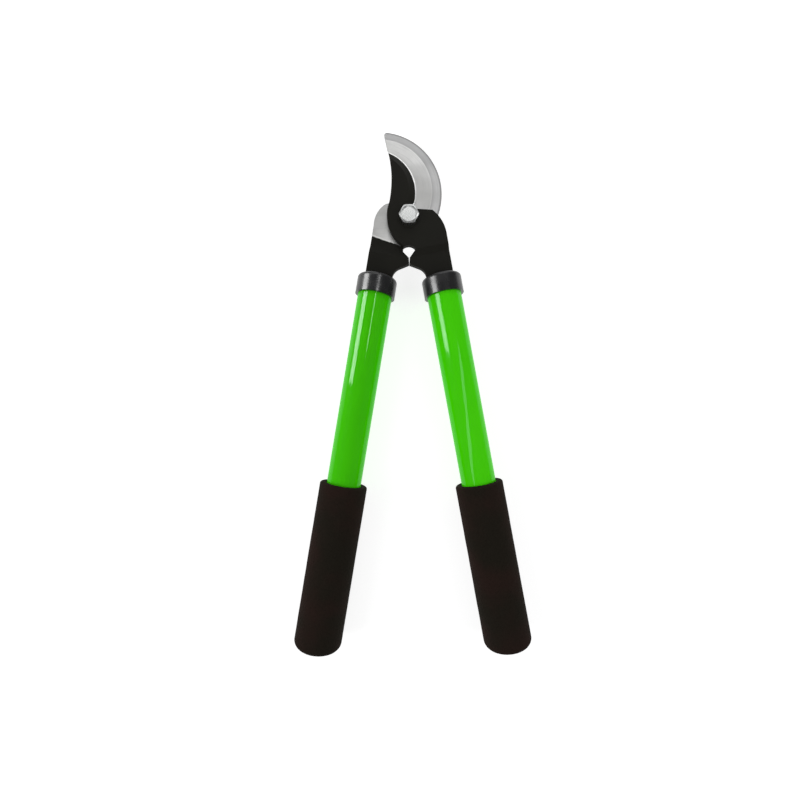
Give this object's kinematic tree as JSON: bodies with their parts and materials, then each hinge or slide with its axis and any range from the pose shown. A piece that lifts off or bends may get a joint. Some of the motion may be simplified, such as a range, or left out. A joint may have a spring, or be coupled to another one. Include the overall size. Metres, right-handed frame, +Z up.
{
  "type": "bypass loppers",
  "caption": "Bypass loppers with curved blade and hook jaws on a pivot bolt, round metal handle tubes, collars and foam grips, jaws closed.",
  "frame": {"origin": "on the ground, under the middle of the tool's outline, with the jaws closed", "axes": "+X across the tool towards the blade's handle, +Y along it towards the jaw tips, +Z up through the pivot bolt's head"},
  "size_m": [0.1732, 0.3811, 0.0346],
  "materials": {
    "black_coated_steel": "satin black non-stick coating on steel plate",
    "polished_steel": "ground bright steel jaw, with the tang painted black",
    "zinc_plated_steel": "bright zinc plate",
    "nylon": "natural nylon",
    "green_powder_coat": "glossy green powder coat on steel tube",
    "black_gloss_plastic": "glossy black moulded plastic",
    "grey_plastic": "dark grey moulded plastic",
    "pin_steel": "plain drawn steel",
    "black_foam": "matt closed-cell black foam"
  },
  "bodies": {
    "hook_arm": {"hook_jaw": "polished_steel", "pivot_bolt": "zinc_plated_steel", "pivot_washer": "zinc_plated_steel", "pivot_nut": "zinc_plated_steel", "nut_locking_ring": "nylon", "left_tube": "green_powder_coat", "left_ferrule": "black_gloss_plastic", "left_tang_insert": "grey_plastic", "left_upper_pin": "pin_steel", "left_lower_pin": "pin_steel", "left_tube_plug": "grey_plastic", "left_grip": "black_foam"},
    "blade_arm": {"cutting_blade": "black_coated_steel", "right_tube": "green_powder_coat", "right_ferrule": "black_gloss_plastic", "right_tang_insert": "grey_plastic", "right_upper_pin": "pin_steel", "right_lower_pin": "pin_steel", "right_tube_plug": "grey_plastic", "right_grip": "black_foam"}
  },
  "joints": [
    {"name": "pivot", "type": "hinge", "parent": "hook_arm", "child": "blade_arm", "pos_m": [0, 0.12479, 0.0173], "axis": [0, 0, 1], "range_deg": [0, 60]}
  ]
}
